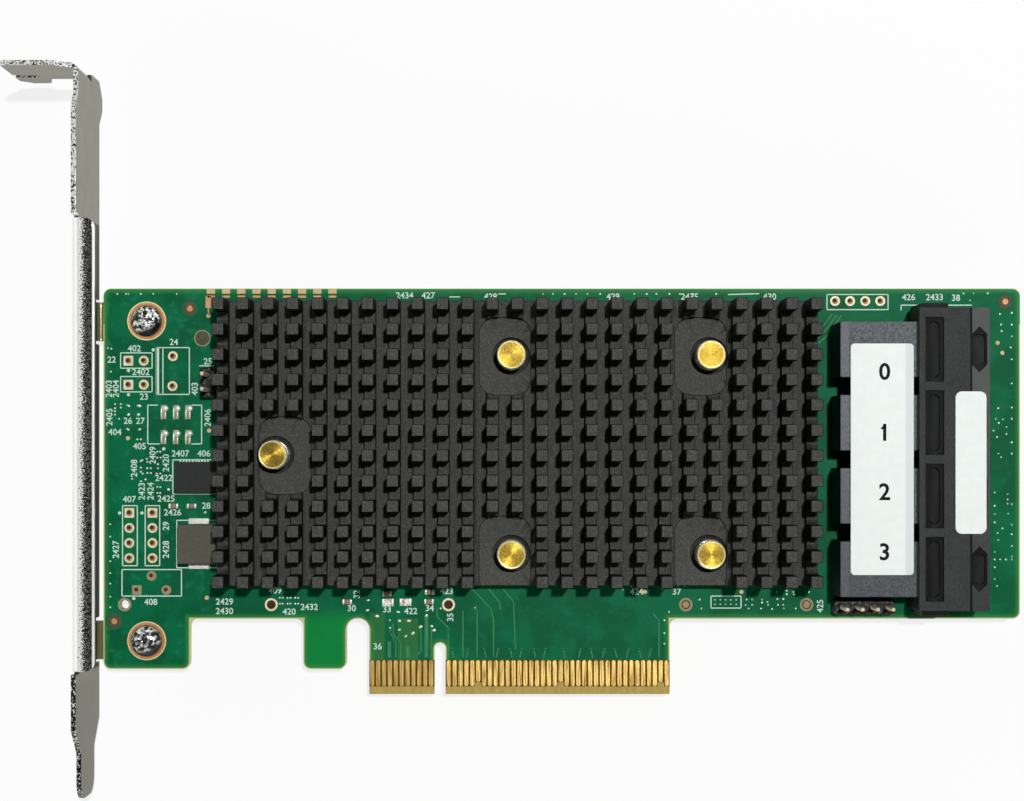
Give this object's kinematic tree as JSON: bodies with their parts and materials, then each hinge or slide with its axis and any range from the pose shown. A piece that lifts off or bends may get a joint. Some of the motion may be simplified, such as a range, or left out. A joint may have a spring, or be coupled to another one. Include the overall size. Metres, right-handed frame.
{
  "type": "host bus adapter",
  "caption": "Plug-in storage controller card with an edge connector, steel bracket, black pin-fin heat sink on sprung brass pins and right-angle cable ports.",
  "frame": {"origin": "middle of the key notch on the tongue's lower edge, half way through the board", "axes": "+X along the card from the bracket to the ports, +Y out of the slot, +Z out of the component side"},
  "size_m": [0.1696, 0.1209, 0.0209],
  "materials": {
    "solder_mask": "satin",
    "gold_plating": "polished",
    "plated_steel": "satin",
    "screw_steel": "polished",
    "black_anodising": "matte",
    "turned_brass": "turned",
    "spring_wire": "polished",
    "chip_substrate": "satin",
    "chip_lid": "satin",
    "thermal_rubber": "matte",
    "black_moulding": "matte",
    "label_paper": "satin",
    "tinned_copper": "satin",
    "coil_compound": "matte",
    "chip_mould": "matte",
    "tan_ceramic": "matte",
    "pale_ceramic": "matte",
    "crystal_can": "satin"
  },
  "bodies": {
    "root": {"circuit_board": "solder_mask", "edge_contacts_front": "gold_plating", "edge_contacts_back": "gold_plating", "mounting_bracket": "plated_steel", "bracket_screws": "screw_steel", "heat_sink": "black_anodising", "push_pins": "turned_brass", "push_pin_springs": "spring_wire", "controller_substrate": "chip_substrate", "controller_lid": "chip_lid", "thermal_pad": "thermal_rubber", "port_housing": "black_moulding", "contact_module_1": "black_moulding", "contact_module_2": "black_moulding", "contact_module_3": "black_moulding", "contact_module_4": "black_moulding", "port_contacts": "gold_plating", "port_tails": "tinned_copper", "port_label": "label_paper", "plain_label": "label_paper", "service_header_base": "black_moulding", "service_header_pins": "gold_plating", "jumper_header_base": "black_moulding", "jumper_header_pins": "gold_plating", "power_inductor_core": "coil_compound", "power_inductor_terminals": "tinned_copper", "power_stage_chip": "chip_mould", "chip_capacitor_bodies": "tan_ceramic", "chip_capacitor_ends": "tinned_copper", "chip_fuse_bodies": "pale_ceramic", "chip_fuse_ends": "tinned_copper", "flash_memory": "chip_mould", "clock_crystal": "crystal_can"}
  },
  "joints": []
}
